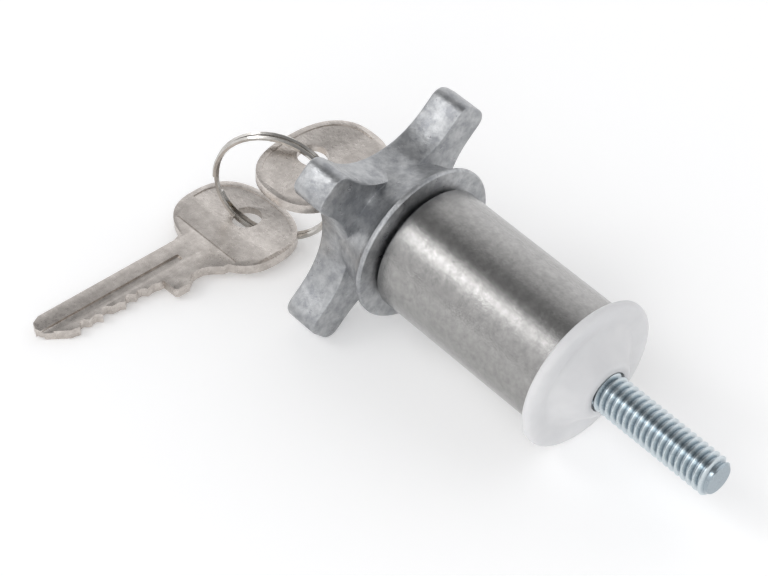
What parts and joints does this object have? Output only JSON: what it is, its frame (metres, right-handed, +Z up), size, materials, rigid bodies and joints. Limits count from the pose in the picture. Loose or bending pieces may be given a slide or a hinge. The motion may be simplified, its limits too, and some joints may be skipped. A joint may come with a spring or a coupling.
{
  "type": "keyed window lock",
  "caption": "Keyed lock with a four-wing star knob, plain steel sleeve, white end cap and threaded stud, with its keys on a split ring.",
  "frame": {"origin": "middle of the footprint, on the table the lock and its keys lie on", "axes": "+X along the lock, from the knob towards the stud; +Y across it, away from the spare key's blade; +Z up"},
  "size_m": [0.1326, 0.0778, 0.0413],
  "materials": {
    "cast_alloy": "cast, tumbled to a dull shine",
    "sleeve_steel": "drawn tube, satin with fine marks",
    "white_polythene": "waxy, slightly see-through",
    "zinc_plate": "bright zinc plate with a blue tint",
    "plug_nickel": "plated",
    "key_nickel": "nickel plate, warm, satin",
    "ring_steel": "bright wire",
    "cylinder_brass": "turned",
    "wafer_brass": "stamped",
    "hidden_steel": "plain",
    "spring_steel": "oiled"
  },
  "bodies": {
    "barrel": {"sleeve": "sleeve_steel", "end_cap": "white_polythene", "bearing_bush": "cylinder_brass", "snap_ring": "spring_steel", "thrust_washer": "white_polythene"},
    "knob": {"star_knob": "cast_alloy", "cylinder_body": "cylinder_brass", "cylinder_pin": "hidden_steel"},
    "spindle": {"threaded_stud": "zinc_plate", "drive_disc": "hidden_steel", "drive_pin": "hidden_steel"},
    "plug": {"key_plug": "plug_nickel", "plug_clip": "spring_steel"},
    "wafers": {"wafer_1": "wafer_brass", "wafer_2": "wafer_brass", "wafer_3": "wafer_brass", "wafer_4": "wafer_brass", "wafer_5": "wafer_brass"},
    "clutch": {"clutch_dog": "hidden_steel"},
    "key": {"working_key": "key_nickel"},
    "ring": {"split_ring": "ring_steel"},
    "spare": {"spare_key": "key_nickel"}
  },
  "joints": [
    {"name": "knob_turn", "type": "hinge", "parent": "barrel", "child": "knob", "pos_m": [-0.00863, 0.01845, 0.01962], "axis": [0.9956, 0, -0.0935], "continuous": true},
    {"name": "spindle_turn", "type": "hinge", "parent": "barrel", "child": "spindle", "pos_m": [-0.00863, 0.01845, 0.01962], "axis": [0.9956, 0, -0.0935], "continuous": true},
    {"name": "plug_turn", "type": "hinge", "parent": "knob", "child": "plug", "pos_m": [-0.00863, 0.01845, 0.01962], "axis": [0.9956, 0, -0.0935], "range_deg": [-90, 0]},
    {"name": "clutch_slide", "type": "slide", "parent": "knob", "child": "clutch", "axis": [-0.9956, 0, 0.0935], "range_m": [0, 0.0022]},
    {"name": "wafer_slide", "type": "slide", "parent": "plug", "child": "wafers", "axis": [0, 1, 0], "range_m": [0, 0.0005]},
    {"name": "key_slide", "type": "slide", "parent": "plug", "child": "key", "axis": [-0.9956, 0, 0.0935], "range_m": [0, 0.027]},
    {"name": "ring_turn", "type": "hinge", "parent": "key", "child": "ring", "pos_m": [-0.04753, 0.01455, 0.01285], "axis": [0.5105, -0.8599, 0], "continuous": true},
    {"name": "spare_turn", "type": "hinge", "parent": "key", "child": "spare", "pos_m": [-0.04753, 0.01455, 0.01285], "axis": [0.5105, -0.8599, 0], "range_deg": [-25, 0]}
  ],
  "couplings": [
    {"joint": "spindle_turn", "follows": "knob_turn", "ratio": 1},
    {"joint": "clutch_slide", "follows": "plug_turn", "m_per_rad": -0.0013369},
    {"joint": "wafer_slide", "follows": "key_slide", "ratio": 0.016667}
  ]
}
